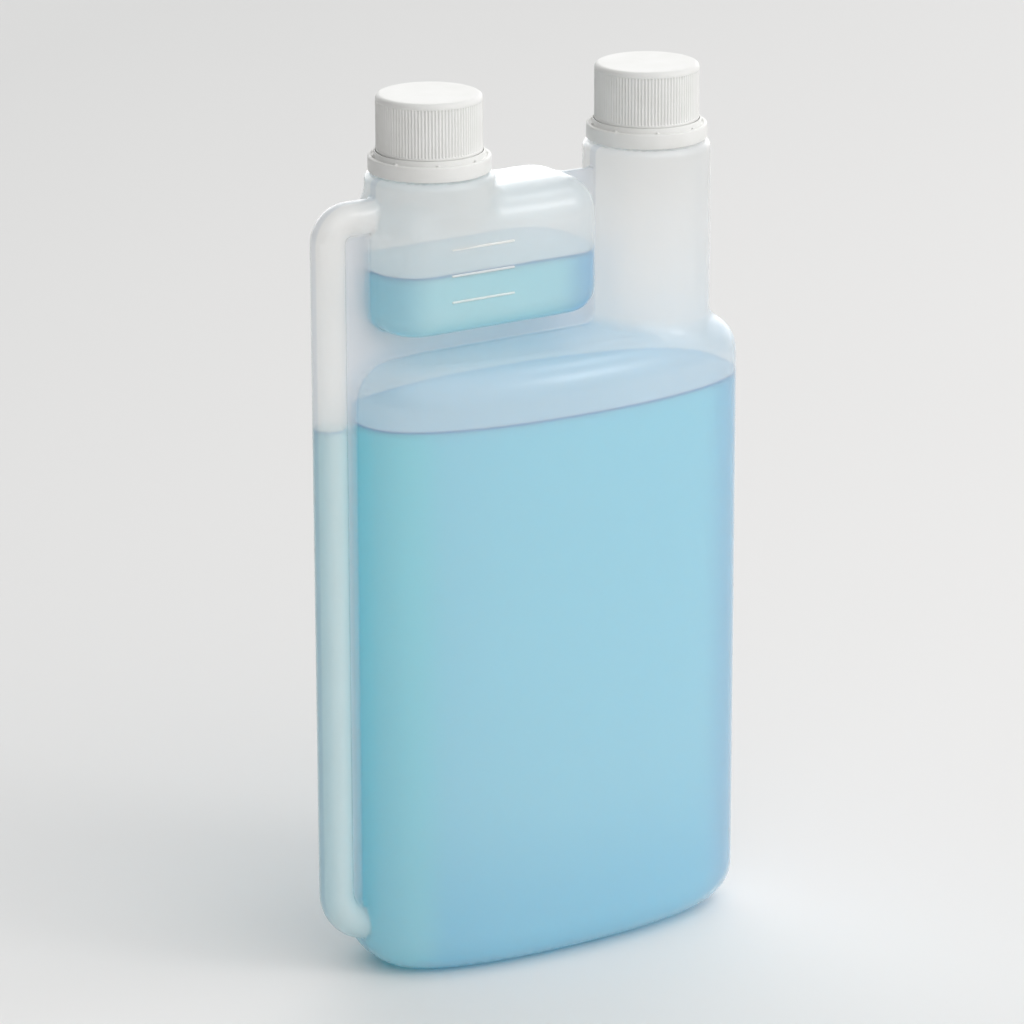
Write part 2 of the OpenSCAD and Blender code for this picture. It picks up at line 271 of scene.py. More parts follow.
def netOfQuads(field, xs, ys, zs):
    # one point in each grid cell that the level 0 passes through, at the mean of its edge crossings,
    # and one quad round each crossed grid edge; the points are then pulled onto level 0 along the slope
    axes = (xs, ys, zs)
    values = field(xs[:, None, None], ys[None, :, None], zs[None, None, :])
    cells = tuple(n - 1 for n in values.shape)
    total, count = np.zeros(cells + (3,)), np.zeros(cells)
    crossings = []
    for a in range(3):
        b, c = (a + 1) % 3, (a + 2) % 3
        v = np.moveaxis(values, (a, b, c), (0, 1, 2))
        low, high = v[:-1], v[1:]
        crossed = (low < 0) != (high < 0)
        part = np.where(crossed, low / np.where(crossed, low - high, 1), 0)
        place = np.zeros(crossed.shape + (3,))
        place[..., a] = axes[a][:-1, None, None] + part * np.diff(axes[a])[:, None, None]
        place[..., b] = axes[b][None, :, None]
        place[..., c] = axes[c][None, None, :]
        place *= crossed[..., None]
        totalView = np.moveaxis(total, (a, b, c), (0, 1, 2))
        countView = np.moveaxis(count, (a, b, c), (0, 1, 2))
        nb, nc = crossed.shape[1] - 1, crossed.shape[2] - 1
        for i in (0, 1):
            for j in (0, 1):
                totalView += place[:, i:nb + i, j:nc + j]
                countView += crossed[:, i:nb + i, j:nc + j]
        crossings.append((a, b, c, crossed, low < 0))
    used = count > 0
    number = np.full(cells, -1)
    number[used] = np.arange(used.sum())
    points = total[used] / count[used][:, None]
    quads = []
    for a, b, c, crossed, lowInside in crossings:
        n = np.moveaxis(number, (a, b, c), (0, 1, 2))
        i, j, k = np.nonzero(crossed[:, 1:-1, 1:-1])
        quad = np.stack([n[i, j, k], n[i, j + 1, k], n[i, j + 1, k + 1], n[i, j, k + 1]], 1)
        out = lowInside[i, j + 1, k + 1]
        quads += [quad[out], quad[~out][:, ::-1]]
    for _ in range(5):
        slope = slopeOf(field, points)
        size = np.maximum((slope ** 2).sum(1), 0.05)
        step = np.clip(field(*points.T) / size, -0.5, 0.5)
        points = points - step[:, None] * slope
    slope = slopeOf(field, points)
    normals = slope / np.maximum(np.linalg.norm(slope, axis=1), 1e-6)[:, None]
    return points, np.vstack(quads), normals


skinGrid = {
    "step": 1.6, "fineStep": 0.7, "fineHalf": 2.8, "topStep": 1.0,
    "halfAlong": 72.03, "halfAcross": 31.2, "low": -2.03, "topFrom": 226.0, "top": 240.0,
}


def gridLine(low, high, step):
    return np.linspace(low, high, int(round((high - low) / step)) + 1)


g = skinGrid
sideLine = np.append(np.arange(g["fineHalf"], 31.0, g["step"]), g["halfAcross"])
seamLine = gridLine(-g["fineHalf"], g["fineHalf"], g["fineStep"])[1:-1]
acrossLine = np.concatenate([-sideLine[::-1], seamLine, sideLine])
alongLine = gridLine(-g["halfAlong"], g["halfAlong"], g["step"])
upLine = np.concatenate([gridLine(g["low"], g["topFrom"], g["step"])[:-1],
                         gridLine(g["topFrom"], g["top"], g["topStep"])])


def satinShine(tree, under, rough, normal):
    # satin shine over a shader: white mirror whose share is 0.044 + 0.956 (1 - cos)^5, as on any plastic
    facing = addNode(tree, "ShaderNodeLayerWeight", values={"Blend": 0.5}, links={"Normal": normal})
    power = addNode(tree, "ShaderNodeMath", {"operation": "POWER"}, {1: 5.0}, {0: facing.outputs["Facing"]})
    share = addNode(tree, "ShaderNodeMath", {"operation": "MULTIPLY_ADD"}, {1: 0.956, 2: 0.044},
                    {0: power.outputs["Value"]})
    mirror = addNode(tree, "ShaderNodeBsdfPrincipled",
                     values={"Base Color": linearColour("ffffff"), "Metallic": 1.0, "Roughness": rough},
                     links={"Normal": normal})
    return addNode(tree, "ShaderNodeMixShader",
                   links={"Fac": share.outputs["Value"], 1: under, 2: mirror.outputs["BSDF"]}).outputs["Shader"]


def innerWallMaterial(name):
    # the same plastic seen from inside: the milk is reckoned in the outer skin, the inner one lets light on
    material, tree = newMaterial(name)
    place = addNode(tree, "ShaderNodeTexCoord").outputs["Object"]
    height = addNode(tree, "ShaderNodeSeparateXYZ", links={"Vector": place}).outputs["Z"]
    share = addNode(tree, "ShaderNodeMapRange", values={"From Min": 0.0, "From Max": 0.26},
                    links={"Value": height})
    tint = addNode(tree, "ShaderNodeMix", {"data_type": "RGBA"},
                   {6: linearColour("fdfdfe"), 7: linearColour("ffffff")}, {0: share.outputs["Result"]})
    clear = addNode(tree, "ShaderNodeBsdfTransparent", links={"Color": tint.outputs[2]})
    addNode(tree, "ShaderNodeOutputMaterial", links={"Surface": clear.outputs["BSDF"]})
    return material


def hdpeMaterial(name, milkShare, throughShare):
    # natural high-density polyethylene, blow moulded: milky, lets light through without a clear
    # picture, with the slow waves of a blown wall and a satin shine
    material, tree = newMaterial(name)
    place = addNode(tree, "ShaderNodeTexCoord").outputs["Object"]
    # the pinched seam in the mould's parting plane is two walls thick and reads a little greyer
    off = addNode(tree, "ShaderNodeSeparateXYZ", links={"Vector": place}).outputs["Y"]
    off = addNode(tree, "ShaderNodeMath", {"operation": "ABSOLUTE"}, links={0: off}).outputs["Value"]
    seam = addNode(tree, "ShaderNodeMapRange", values={"From Min": 1.9 * metre, "From Max": 1.1 * metre},
                   links={"Value": off}).outputs["Result"]
    shade = addNode(tree, "ShaderNodeMix", {"data_type": "RGBA"},
                    {6: linearColour("fcfbf9"), 7: linearColour("eceef1")}, {0: seam}).outputs[2]
    wave = addNode(tree, "ShaderNodeTexNoise", values={"Scale": 26.0, "Detail": 0.0}, links={"Vector": place})
    bump = addNode(tree, "ShaderNodeBump", values={"Strength": 0.2, "Distance": 0.0006},
                   links={"Height": wave.outputs["Fac"]})
    wall = addNode(tree, "ShaderNodeBsdfPrincipled",
                   values={"Roughness": 0.3, "IOR": 1.53, "Specular IOR Level": 0.0},
                   links={"Base Color": shade, "Normal": bump.outputs["Normal"]})
    through = addNode(tree, "ShaderNodeBsdfTranslucent", links={"Color": shade})
    clear = addNode(tree, "ShaderNodeBsdfTransparent", values={"Color": linearColour("fefefe")})
    milk = addNode(tree, "ShaderNodeMixShader", values={"Fac": throughShare},
                   links={1: wall.outputs["BSDF"], 2: through.outputs["BSDF"]})
    mixed = addNode(tree, "ShaderNodeMixShader", values={"Fac": 1 - milkShare},
                    links={1: milk.outputs["Shader"], 2: clear.outputs["BSDF"]}).outputs["Shader"]
    satin = satinShine(tree, mixed, 0.24, bump.outputs["Normal"])
    addNode(tree, "ShaderNodeOutputMaterial", links={"Surface": satin})
    return material


def capMaterial():
    # polypropylene, white, injection moulded: bright, slightly warm, satin, with a faint orange skin
    material, tree = newMaterial("white_polypropylene_moulded")
    place = addNode(tree, "ShaderNodeTexCoord").outputs["Object"]
    cloud = addNode(tree, "ShaderNodeTexNoise", values={"Scale": 120.0, "Detail": 3.0}, links={"Vector": place})
    tint = addNode(tree, "ShaderNodeValToRGB", links={"Fac": cloud.outputs["Fac"]})
    tint.color_ramp.elements[0].position, tint.color_ramp.elements[1].position = 0.3, 0.7
    tint.color_ramp.elements[0].color = linearColour("e9e9e6")
    tint.color_ramp.elements[1].color = linearColour("eeeeec")
    grain = addNode(tree, "ShaderNodeTexNoise", values={"Scale": 1400.0, "Detail": 2.0}, links={"Vector": place})
    bump = addNode(tree, "ShaderNodeBump", values={"Strength": 0.15, "Distance": 0.0001},
                   links={"Height": grain.outputs["Fac"]})
    plastic = addNode(tree, "ShaderNodeBsdfPrincipled",
                      values={"Roughness": 0.42, "IOR": 1.49, "Specular IOR Level": 0.2},
                      links={"Base Color": tint.outputs["Color"], "Normal": bump.outputs["Normal"]})
    addNode(tree, "ShaderNodeOutputMaterial", links={"Surface": plastic.outputs["BSDF"]})
    return material


def liquidMaterial(name, level, hexes, left, right, baseShadeFrom):
    # water with a little blue dye behind a milky wall: even and glowing; over its own colour lie painted shade,
    # deeper in the turn of the base, painted light and shade at its ends, painted light, paler, on its flat top,
    # and a darker painted shade line where the meniscus climbs the wall
    material, tree = newMaterial(name)
    place = addNode(tree, "ShaderNodeTexCoord").outputs["Object"]
    apart = addNode(tree, "ShaderNodeSeparateXYZ", links={"Vector": place})
    along, height = apart.outputs["X"], apart.outputs["Z"]
    facing = addNode(tree, "ShaderNodeSeparateXYZ",
                     links={"Vector": addNode(tree, "ShaderNodeNewGeometry").outputs["True Normal"]})
    lineFrom, lineTo, topFrom, topTo = level + 0.04, level + 0.12, 0.3 / metre, 0.5 / metre
    # painted shade toward the base, painted light and shade at either end, a painted shade line at the meniscus
    # and painted light on faces turned up; only the middle colour is the dyed water's own
    steps = ((height, "paintedBaseShade", (baseShadeFrom, 2.0)), (along, "left", left), (along, "right", right),
             (height, "line", (lineFrom, lineTo)), (facing.outputs["Z"], "top", (topFrom, topTo)))
    colour = None
    for source, over, (low, high) in steps:
        share = addNode(tree, "ShaderNodeMapRange", {"interpolation_type": "SMOOTHSTEP"},
                        {"From Min": low * metre, "From Max": high * metre}, {"Value": source})
        blended = addNode(tree, "ShaderNodeMix", {"data_type": "RGBA"}, {7: linearColour(hexes[over])},
                          {0: share.outputs["Result"]})
        if colour is None:
            blended.inputs[6].default_value = linearColour(hexes["middle"])
        else:
            tree.links.new(colour, blended.inputs[6])
        colour = blended.outputs[2]
    surface = addNode(tree, "ShaderNodeBsdfPrincipled", values={"Roughness": 0.15, "IOR": 1.33},
                      links={"Base Color": colour})
    through = addNode(tree, "ShaderNodeBsdfTranslucent", links={"Color": colour})
    glow = addNode(tree, "ShaderNodeMixShader", values={"Fac": 0.55},
                   links={1: surface.outputs["BSDF"], 2: through.outputs["BSDF"]})
    addNode(tree, "ShaderNodeOutputMaterial", links={"Surface": glow.outputs["Shader"]})
    return material


def linerMaterial():
    # polyethylene foam, die cut: soft off-white with fine closed cells
    material, tree = newMaterial("polyethylene_foam_liner")
    place = addNode(tree, "ShaderNodeTexCoord").outputs["Object"]
    cells = addNode(tree, "ShaderNodeTexVoronoi", values={"Scale": 2500.0}, links={"Vector": place})
    tint = addNode(tree, "ShaderNodeValToRGB", links={"Fac": cells.outputs["Distance"]})
    tint.color_ramp.elements[0].color = linearColour("e6e6e2")
    tint.color_ramp.elements[1].color = linearColour("dadad6")
    bump = addNode(tree, "ShaderNodeBump", values={"Strength": 0.3, "Distance": 0.0002},
                   links={"Height": cells.outputs["Distance"]})
    foam = addNode(tree, "ShaderNodeBsdfPrincipled", values={"Roughness": 0.8},
                   links={"Base Color": tint.outputs["Color"], "Normal": bump.outputs["Normal"]})
    addNode(tree, "ShaderNodeOutputMaterial", links={"Surface": foam.outputs["BSDF"]})
    return material


hdpe = hdpeMaterial("natural_hdpe_blown", 0.8, 0.68)
innerHdpe = innerWallMaterial("natural_hdpe_inner_wall")
thickHdpe = hdpeMaterial("natural_hdpe_thick", 0.97, 0.5)
capPlastic = capMaterial()
foam = linerMaterial()

# bottle: outer skin and the wall of its cavity

outerPoints, outerQuads, outerNormals = netOfQuads(outerField, alongLine, acrossLine, upLine)
innerPoints, innerQuads, innerNormals = netOfQuads(innerField, alongLine, acrossLine, upLine)
skin = makePiece("bottle_skin", [(outerPoints, [outerQuads], 1), (innerPoints, [innerQuads], -1)],
                 "bottle_body", hdpe, np.vstack([outerNormals, -innerNormals]))
skin.data.materials.append(innerHdpe)
skin.data.polygons.foreach_set("material_index", [0] * len(outerQuads) + [1] * len(innerQuads))
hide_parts("bottle")
print("bottle skin:", len(outerQuads), "outer and", len(innerQuads), "inner quads")

graduation = {"startX": -34.6, "length": 20.9, "heights": (203.3, 210.9, 218.5), "width": 0.7, "out": 0.35}


def raisedLine(height):
    # half-sunk bar with round ends: a ring of half width w and depth d carried along x, drawn in at its ends
    along = np.concatenate([[0.0, 0.06, 0.2, 0.35], np.linspace(0.6, graduation["length"] - 0.6, 12),
                            graduation["length"] - np.array([0.35, 0.2, 0.06, 0.0])])
    fromEnd = np.minimum(along, graduation["length"] - along)
    full = np.sqrt(np.clip(1 - (1 - np.clip(fromEnd / 0.35, 0, 1)) ** 2, 0.01, 1))[:, None]
    angle = np.linspace(0, 2 * np.pi, 16, endpoint=False)[None, :]
    y = -chamber["halfDepth"] + graduation["out"] * full * np.sin(angle)
    z = height + graduation["width"] / 2 * full * np.cos(angle)
    x = np.broadcast_to((graduation["startX"] + along)[:, None], y.shape)
    points, faces = closedRings(np.stack([x, y, z], -1))
    return points, faces, 1


makePiece("graduation_lines", [raisedLine(h) for h in graduation["heights"]],
          "bottle_body", thickHdpe)

finish = {
    "radius": 12.75, "bore": 10.8, "foot": 236.6, "rim": 257.25, "rimRound": 0.6,
    "threadOut": 0.95, "threadWidth": 2.2, "threadPitch": 4.2, "threadStart": 254.6, "threadTurns": 2.1,
    "beadOut": 1.6, "beadLow": 239.75, "beadHeight": 1.3, "around": 144,
}


def neckFinish(centreX):
    # wall turned about the neck's axis; the thread is a ridge whose middle height falls by one pitch a turn
    f = finish
    columns = f["around"]
    edge = np.radians(np.linspace(0, 90, 6))
    outHeights = np.linspace(f["foot"], f["rim"] - f["rimRound"], 90)
    angle = np.linspace(0, 2 * np.pi, columns, endpoint=False)[None, :]
    z = outHeights[:, None]
    bead = f["beadOut"] * np.where(z < f["beadLow"], easeIn((z - f["beadLow"] + 0.3) / 0.3),
                                   1 - np.clip((z - f["beadLow"]) / f["beadHeight"], 0, 1))
    ridge = np.zeros((len(outHeights), columns))
    for lap in range(3):
        turned = angle / (2 * np.pi) + lap
        middle = f["threadStart"] - turned * f["threadPitch"]
        fade = easeIn(turned / 0.06) * easeIn((f["threadTurns"] - turned) / 0.06)
        shape = 1 - easeIn((np.abs(z - middle) - f["threadWidth"] * 0.12) / (f["threadWidth"] * 0.34))
        ridge = np.maximum(ridge, f["threadOut"] * fade * shape)
    outside = f["radius"] + np.maximum(bead, ridge)
    lip = f["rimRound"]
    rimOut = np.stack([f["radius"] - lip + lip * np.cos(edge), f["rim"] - lip + lip * np.sin(edge)], 1)[1:]
    rimIn = np.stack([f["bore"] + lip - lip * np.sin(edge), f["rim"] - lip + lip * np.cos(edge)], 1)
    inside = np.stack([np.full(12, f["bore"]), np.linspace(f["rim"] - 2 * lip, f["foot"], 12)], 1)
    rest = np.vstack([rimOut, rimIn, inside])
    radius = np.vstack([outside, np.repeat(rest[:, :1], columns, 1)])
    height = np.concatenate([outHeights, rest[:, 1]])[:, None]
    rings = turnedRings(radius, height, centreX)
    return rings.reshape(-1, 3), [ringFaces(len(rings), columns, joined=True)], 1


makePiece("dosing_neck_finish", [neckFinish(neck["dosingX"])], "bottle_body", thickHdpe)
makePiece("filler_neck_finish", [neckFinish(neck["fillerX"])], "bottle_body", thickHdpe)
print("neck finishes and graduation lines done")

cap = {
    "low": 243.6, "height": 16.4, "radius": 15.25, "bore": 14.05, "topThickness": 1.6,
    "ribs": 98, "ribDepth": 0.35, "perRib": 8, "collar": 0.7, "ribTop": 14.7, "ribFade": 0.35,
    "edgeRound": 1.4, "footRound": 0.2, "crown": 0.12,
}


def capShell(centreX):
    # profile turned about the cap's axis; between collar and rim the radius carries ribs,
    # each a raised cosine round the cap that fades out over ribFade at both ends
    c = cap
    columns = c["ribs"] * c["perRib"]
    angle = np.linspace(0, 2 * np.pi, columns, endpoint=False)[None, :]
    quarter = np.radians(np.linspace(0, 90, 7))
    r, foot, rim = c["radius"] - 0.05, c["footRound"], c["edgeRound"]
    footEdge = np.stack([r - foot + foot * np.sin(quarter), foot - foot * np.cos(quarter)], 1)
    heights = np.concatenate([[0.45, c["collar"] - 0.05], c["collar"] + np.linspace(0.05, c["ribFade"], 4),
                              np.linspace(2.4, c["ribTop"] - 0.8, 5),
                              c["ribTop"] - np.linspace(c["ribFade"], 0.0, 4)])
    side = np.stack([np.full(len(heights), r), heights], 1)
    rimEdge = np.stack([r - rim + rim * np.cos(quarter), c["height"] - rim + rim * np.sin(quarter)], 1)
    top = np.stack([[12.0, 9.0, 6.0, 3.0, 0.8], np.full(5, c["height"])], 1)
    inTop = c["height"] - c["topThickness"]
    under = np.stack([[0.8, 5.0, 10.0, c["bore"] - 0.3], np.full(4, inTop)], 1)
    bore = np.stack([np.full(6, c["bore"]), np.linspace(inTop - 0.3, foot, 6)], 1)
    outer = np.vstack([footEdge, side, rimEdge, top])
    inner = np.vstack([under, bore, [[c["bore"] + 0.1, 0.0]]])
    outer[:, 1] -= c["crown"] * (1 - np.clip(outer[:, 0] / r, 0, 1) ** 2) * (outer[:, 1] > c["height"] - 0.01)
    z = outer[:, 1:2]
    hold = easeIn((z - c["collar"]) / c["ribFade"]) * easeIn((c["ribTop"] - z) / c["ribFade"])
    groove = 0.5 - 0.5 * np.cos(c["ribs"] * angle)
    radius = outer[:, :1] - hold * c["ribDepth"] * groove ** 0.8
    outRings = turnedRings(radius, z + c["low"], centreX)
    inRings = turnedRings(np.repeat(inner[:, :1], columns, 1), inner[:, 1:2] + c["low"], centreX)
    rings = np.concatenate([inRings, outRings])
    points, faces = closedRings(rings)
    return points, faces, 1


for name, centreX in (("dosing_cap", neck["dosingX"]), ("filler_cap", neck["fillerX"])):
    shell = makePiece(name + "_shell", [capShell(centreX)], name + "_body", capPlastic)
    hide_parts(name)
print("caps done")

band = {
    "low": 237.9, "height": 4.5, "outer": 17.55, "bore": 14.75, "lip": 13.75, "lipHeight": 1.5,
    "edge": 0.5, "rimTop": 5.85, "rimOut": 15.8, "rimIn": 15.35, "floorTop": 4.8,
    "ledgeIn": 15.95, "ledgeOut": 16.4, "ledgeDrop": 0.38,
    "bridges": 8, "bridgeWidth": 1.2, "bridgeThick": 0.7, "bridgeRadius": 16.1, "around": 160,
}


def bandRing(centreX):
    # closed profile turned about the neck: rounded outer wall, ledge, raised inner rim, bore, holding lip
    b = band
    quarter = np.radians(np.linspace(0, 90, 5))
    e, o, h = b["edge"], b["outer"], b["height"]
    low, rim, ledge = b["floorTop"], b["rimTop"], h - b["ledgeDrop"]
    lowEdge = np.stack([o - e + e * np.sin(quarter), e - e * np.cos(quarter)], 1)
    topEdge = np.stack([o - e + e * np.cos(quarter), h - e + e * np.sin(quarter)], 1)
    inside = np.array([[b["ledgeOut"] + 0.35, h], [b["ledgeOut"] + 0.2, h - 0.05],
                       [b["ledgeOut"] + 0.1, ledge + 0.08], [b["ledgeOut"], ledge], [b["ledgeIn"], ledge],
                       [b["ledgeIn"] - 0.1, ledge + 0.08], [b["rimOut"], rim - 0.15],
                       [b["rimOut"] - 0.1, rim], [b["rimIn"] + 0.1, rim], [b["rimIn"], rim - 0.1],
                       [b["rimIn"], low + 0.2], [b["rimIn"] - 0.15, low],
                       [b["bore"] + 0.1, low], [b["bore"], low - 0.1], [b["bore"], b["lipHeight"] + 0.1],
                       [b["lip"] + 0.2, b["lipHeight"]], [b["lip"], b["lipHeight"] - 0.3],
                       [b["lip"], 0.3], [b["lip"] + 0.3, 0.0]])
    profile = np.vstack([lowEdge, topEdge, inside])
    rings = turnedRings(np.repeat(profile[:, :1], b["around"], 1), profile[:, 1:2] + b["low"], centreX)
    return rings.reshape(-1, 3), [ringFaces(len(rings), b["around"], joined=True)], 1


def bridgeStubs(centreX):
    # small blocks with four-sided rings that narrow toward their torn tops
    b = band
    shells = []
    for k in range(b["bridges"]):
        turn = 2 * np.pi * (k + 0.5) / b["bridges"]
        heights = b["height"] + np.array([-0.8, -0.2, 0.1, 0.3, 0.36])
        share = np.array([1.0, 1.0, 0.85, 0.7, 0.4])[:, None]
        u = b["bridgeRadius"] + b["bridgeThick"] / 2 * share * np.array([-1, 1, 1, -1])[None, :]
        v = b["bridgeWidth"] / 2 * share * np.array([-1, -1, 1, 1])[None, :]
        z = np.broadcast_to(heights[:, None], u.shape) + b["low"]
        x = centreX + u * np.cos(turn) - v * np.sin(turn)
        y = u * np.sin(turn) + v * np.cos(turn)
        points, faces = closedRings(np.stack([x, y, z], -1))
        shells.append((points, faces, 1))
    return shells


for name, centreX in (("dosing_cap_band", neck["dosingX"]), ("filler_cap_band", neck["fillerX"])):
    ring = makePiece(name + "_ring", [bandRing(centreX)] + bridgeStubs(centreX),
                     "bottle_body", capPlastic)
    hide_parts(name)
for name in ("dosing_cap_liner", "filler_cap_liner"):
    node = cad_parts[name]
    node.data.materials.clear()
    node.data.materials.append(foam)
print("bands and liners done")

liquid = {
    "mainLevel": 166.6, "doseLevel": 210.8, "gap": 0.06, "climb": 0.8, "around": 180, "doseAround": 144,
    "tubeRadius": 4.55, "tubeAround": 32, "tubeFrom": -52.4,
}
# each table's middle colour is the dyed water's own; the others are painted: painted shade in the base, painted
# light and shade at the two ends, painted light on the flat top and a painted shade line at the meniscus
dyedWater = liquidMaterial("dyed_water_reservoir", liquid["mainLevel"],
                           {"paintedBaseShade": "34e4ff", "middle": "98f0ff", "left": "86f8ff", "right": "5ed0f0",
                            "top": "98e0fc", "line": "48b8f0"}, (-38.0, -48.0), (47.0, 61.0), 60.0)
doseWater = liquidMaterial("dyed_water_dose", liquid["doseLevel"],
                           {"paintedBaseShade": "a8f6ff", "middle": "bcf8ff", "left": "a0eefe", "right": "54c6ee",
                            "top": "d8f2fc", "line": "68c4f0"}, (-40.0, -50.0), (1.0, 13.0), 200.0)
tubeWater = liquidMaterial("dyed_water_tube", liquid["mainLevel"],
                           {"paintedBaseShade": "e4faff", "middle": "e8fcff", "left": "d4f6fe", "right": "f0fdff",
                            "top": "f0fcfe", "line": "80cce8"}, (-66.0, -69.0), (-60.0, -50.0), 20.0)


def sectionRing(inset, z, count):
    # x = (a - i) |cos t|^(2/p), y = (b - i) |sin t|^(2/q), each with its sign
    r = reservoir
    t = np.linspace(0, 2 * np.pi, count, endpoint=False)
    c, s = np.cos(t), np.sin(t)
    x = r["centreX"] + (r["halfWidth"] - inset) * np.sign(c) * np.abs(c) ** (2 / r["powerX"])
    y = (r["halfDepth"] - inset) * np.sign(s) * np.abs(s) ** (2 / r["powerY"])
    return np.stack([x, y, np.full(count, z)], 1)


def chamberRing(inset, z, count):
    # the chamber's plan, sampled evenly round its four straight sides and four corners
    c = chamber
    radius = c["corner"] - inset
    flatX, flatY = (c["right"] - c["left"]) / 2 - c["corner"], c["halfDepth"] - c["corner"]
    corner = np.pi * c["corner"] / 2
    lengths = np.array([2 * flatY, corner, 2 * flatX, corner] * 2)
    s = np.linspace(0, lengths.sum(), count, endpoint=False)
    starts = np.concatenate([[0], np.cumsum(lengths)[:-1]])
    part = np.searchsorted(starts, s, side="right") - 1
    t = (s - starts[part]) / lengths[part]
    quarterTurn = np.where(part % 2 == 1, (part // 2 + t), (part // 2)) * np.pi / 2
    sweep = np.where(part % 2 == 0, t, 0.0)
    fromX = np.array([1, 1, 1, -1, -1, -1, -1, 1]) * flatX
    fromY = np.array([-1, 1, 1, 1, 1, -1, -1, -1]) * flatY
    toX = np.array([1, 1, -1, -1, -1, -1, 1, 1]) * flatX
    toY = np.array([1, 1, 1, 1, -1, -1, -1, -1]) * flatY
    x = fromX[part] + (toX - fromX)[part] * sweep + radius * np.cos(quarterTurn)
    y = fromY[part] + (toY - fromY)[part] * sweep + radius * np.sin(quarterTurn)
    return np.stack([x + (c["left"] + c["right"]) / 2, y, np.full(count, z)], 1)


def levelsOfLiquid(gap, floor, baseRound, level, climb, deepest):
    # (inset, height) from the middle of the floor, round the base, up the wall, over the meniscus and in
    edge = np.radians(np.linspace(0, 90, 9))
    bend = baseRound - gap
    base = np.stack([gap + bend * (1 - np.sin(edge)), floor + bend * (1 - np.cos(edge))], 1)
    floorRows = np.stack([np.linspace(deepest, base[0, 0] + 1, 4), np.full(4, floor)], 1)
    wallRows = np.stack([np.full(7, gap), np.linspace(base[-1, 1] + 2, level - 2, 7)], 1)
    away = np.array([0.0, 0.05, 0.25, 0.6, 1.2, 2.2])
    meniscus = np.stack([gap + away, level + climb * np.exp(-away / 0.7)], 1)
    topRows = np.stack([np.linspace(gap + 4, deepest, 5), np.full(5, level)], 1)
    return np.vstack([floorRows, base, wallRows, meniscus, topRows])


mainRows = levelsOfLiquid(reservoir["wall"] + liquid["gap"], reservoir["baseWall"] + liquid["gap"],
                          reservoir["baseRound"], liquid["mainLevel"], liquid["climb"], 25.0)
mainPool = closedRings(np.stack([sectionRing(i, z, liquid["around"]) for i, z in mainRows])) + (1,)


def tubeColumn():
    # circle carried along the tube's middle line, from inside the reservoir's foot up to the surface
    t, f = tube, liquid
    bendAngles = np.radians(np.linspace(270, 180, 12))
    centre = np.array([t["x"] + t["lowBend"], t["lowAxis"] + t["lowBend"]])
    bend = centre + t["lowBend"] * np.stack([np.cos(bendAngles), np.sin(bendAngles)], 1)
    rise = np.stack([np.full(10, t["x"]), np.linspace(centre[1] + 4, f["mainLevel"], 10)], 1)
    path = np.vstack([[[f["tubeFrom"], t["lowAxis"]]], bend, rise])
    ahead = np.gradient(path, axis=0)
    ahead /= np.linalg.norm(ahead, axis=1)[:, None]
    ahead[0], ahead[-1] = (-1, 0), (0, 1)
    angle = np.linspace(0, 2 * np.pi, f["tubeAround"], endpoint=False)[None, :]
    radius = f["tubeRadius"]
    across = radius * np.cos(angle)
    x = path[:, :1] + across * ahead[:, 1:2]
    z = path[:, 1:2] - across * ahead[:, :1]
    y = np.broadcast_to(radius * np.sin(angle), x.shape)
    rings = np.stack([x, y, z], -1)
    cup = rings[-1:] + [0, 0, f["climb"] * 0.8]
    middle = (rings[-1:] - [t["x"], 0, 0]) * [0.6, 0.6, 1] + [t["x"], 0, 0]
    return closedRings(np.concatenate([rings, cup, middle]))


pool = makePiece("reservoir_liquid_pool", [mainPool], "bottle_body", dyedWater)
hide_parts("reservoir_liquid")
makePiece("tube_liquid_column", [tubeColumn() + (1,)], "bottle_body", tubeWater)
doseRows = levelsOfLiquid(chamber["wall"] + liquid["gap"], chamber["low"] + chamber["wall"] + liquid["gap"],
                          chamber["lowRound"], liquid["doseLevel"], liquid["climb"], 11.5)
doseRows = doseRows[(doseRows[:, 1] < chamber["low"] + 8.4) | (doseRows[:, 1] > liquid["doseLevel"] - 3)]
dosePool = closedRings(np.stack([chamberRing(i, z, liquid["doseAround"]) for i, z in doseRows])) + (1,)
dose = makePiece("dosing_liquid_pool", [dosePool], "bottle_body", doseWater)
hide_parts("dosing_liquid")
print("contents done")

studio = {
    "floorHalf": 6.0, "roomStrength": 0.16, "boxStrength": 1.57, "boxEdge": 0.45,
    "boxAzimuth": 48.0, "boxElevation": 44.0,
    "wallStrength": 1.92, "wallAzimuth": 178.0, "wallElevation": 8.0, "wallEdge": 0.45, "wallFull": 0.95,
    # azimuth and elevation, cosine at the edge and at full light, strength outside and inside
    "sideLamp": (70.0, 33.0, 0.984, 0.994, 0.0, 4.1), "topLamp": (105.0, 57.0, 0.989, 0.996, 0.0, 2.6),
    # painted light falloff on the floor: the way along which it grows paler, and the metres along it where it
    # starts and ends
    "floorPaintedLightWay": (0.605, -0.914, 0.0), "floorDim": -0.8, "floorBright": 0.1,      # way and metres along it
}


